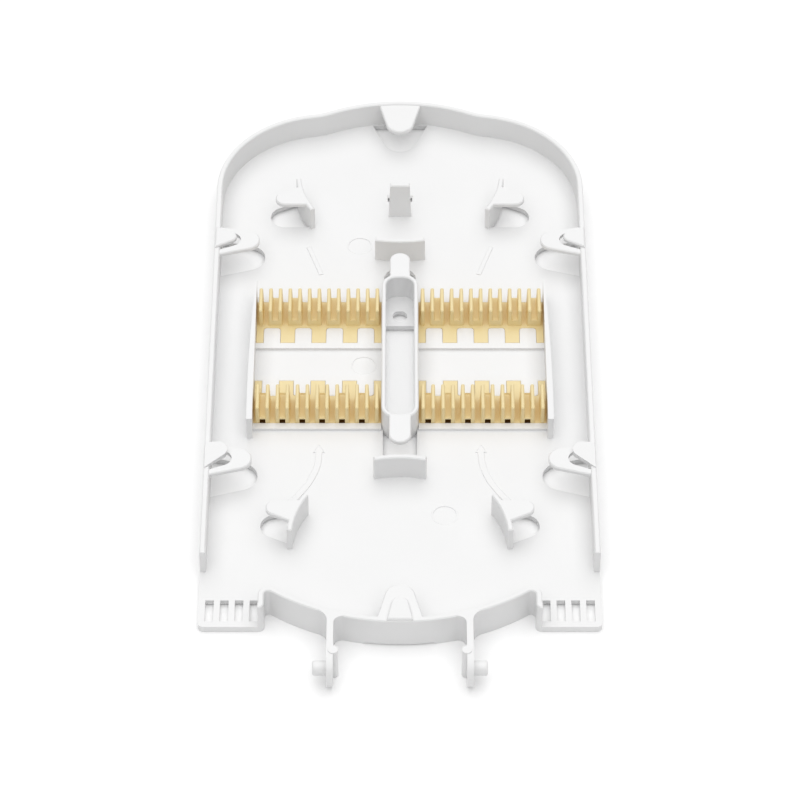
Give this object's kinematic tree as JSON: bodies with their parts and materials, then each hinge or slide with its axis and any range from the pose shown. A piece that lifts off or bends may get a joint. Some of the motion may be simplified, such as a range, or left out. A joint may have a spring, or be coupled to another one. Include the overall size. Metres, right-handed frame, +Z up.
{
  "type": "fibre splice tray",
  "caption": "Fibre-optic splice tray: a shallow white tray with coil guides, retaining tabs and hinge arms, and beige combs that hold the splice protectors.",
  "frame": {"origin": "under the middle of the tray's outline, on the surface that it lies on", "axes": "+X across the tray to its right, +Y along the tray away from the hinge pins, +Z up out of the tray"},
  "size_m": [0.1076, 0.2248, 0.0143],
  "materials": {
    "white_abs": "satin injection moulding",
    "beige_comb": "semi-soft moulding"
  },
  "bodies": {
    "root": {"splice_tray": "white_abs", "rear_left_comb": "beige_comb", "rear_right_comb": "beige_comb", "front_left_comb": "beige_comb", "front_right_comb": "beige_comb"}
  },
  "joints": []
}
